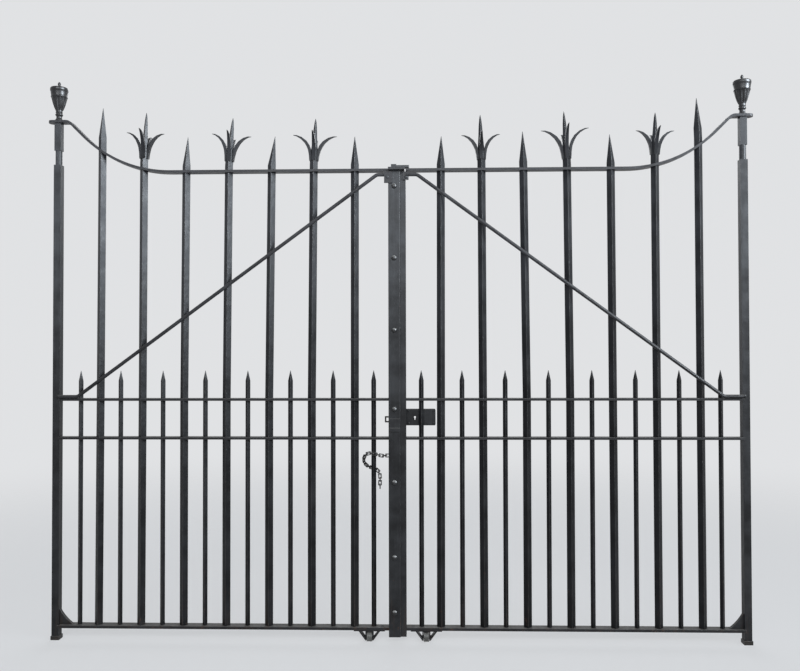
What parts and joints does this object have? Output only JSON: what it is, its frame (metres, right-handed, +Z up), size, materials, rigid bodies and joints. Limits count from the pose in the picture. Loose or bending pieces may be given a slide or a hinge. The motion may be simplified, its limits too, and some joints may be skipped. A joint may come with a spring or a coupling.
{
  "type": "driveway gate",
  "caption": "Pair of wrought iron carriage gates with swept top rails, barbed spikes, dog bars, diagonal braces, urn finials and small wheels at the meeting edge.",
  "frame": {"origin": "centre of the underside of the left footstep, on the left hanging axis", "axes": "+X along the closed gate to the right as seen from the front, +Z up, front faces -Y"},
  "size_m": [2.9286, 0.1982, 2.33],
  "materials": {
    "black_iron": "satin",
    "bare_steel": "worn",
    "cast_iron": "worn"
  },
  "bodies": {
    "footings": {"left_footstep": "cast_iron", "right_footstep": "cast_iron"},
    "left_leaf": {"left_hanging_stile": "black_iron", "left_top_rail": "black_iron", "left_upper_rail": "black_iron", "left_lower_rail": "black_iron", "left_bottom_rail": "black_iron", "left_meeting_stile": "black_iron", "left_tall_bars": "black_iron", "left_barbs": "black_iron", "left_dog_bars": "black_iron", "left_brace": "black_iron", "left_urn": "black_iron", "left_gusset": "black_iron", "left_wheel_bracket": "black_iron", "left_slam_strip": "black_iron", "left_top_catch": "black_iron", "left_bolt_staple": "black_iron", "left_chain": "black_iron"},
    "right_leaf": {"right_hanging_stile": "black_iron", "right_top_rail": "black_iron", "right_upper_rail": "black_iron", "right_lower_rail": "black_iron", "right_bottom_rail": "black_iron", "right_meeting_stile": "black_iron", "right_tall_bars": "black_iron", "right_barbs": "black_iron", "right_dog_bars": "black_iron", "right_brace": "black_iron", "right_urn": "black_iron", "right_gusset": "black_iron", "right_wheel_bracket": "black_iron", "right_lock_case": "black_iron", "right_lock_bolt": "bare_steel"},
    "left_wheel": {"left_wheel": "cast_iron"},
    "right_wheel": {"right_wheel": "cast_iron"}
  },
  "joints": [
    {"name": "left_leaf_swing", "type": "hinge", "parent": "footings", "child": "left_leaf", "pos_m": [0, 0, 0.011], "axis": [0, 0, 1], "range_deg": [0, 90]},
    {"name": "right_leaf_swing", "type": "hinge", "parent": "footings", "child": "right_leaf", "pos_m": [2.8448, 0, 0.011], "axis": [0, 0, -1], "range_deg": [0, 90]},
    {"name": "left_wheel_spin", "type": "hinge", "parent": "left_leaf", "child": "left_wheel", "pos_m": [1.3054, 0, 0.02], "axis": [1, 0, 0], "continuous": true},
    {"name": "right_wheel_spin", "type": "hinge", "parent": "right_leaf", "child": "right_wheel", "pos_m": [1.5394, 0, 0.02], "axis": [1, 0, 0], "continuous": true}
  ]
}
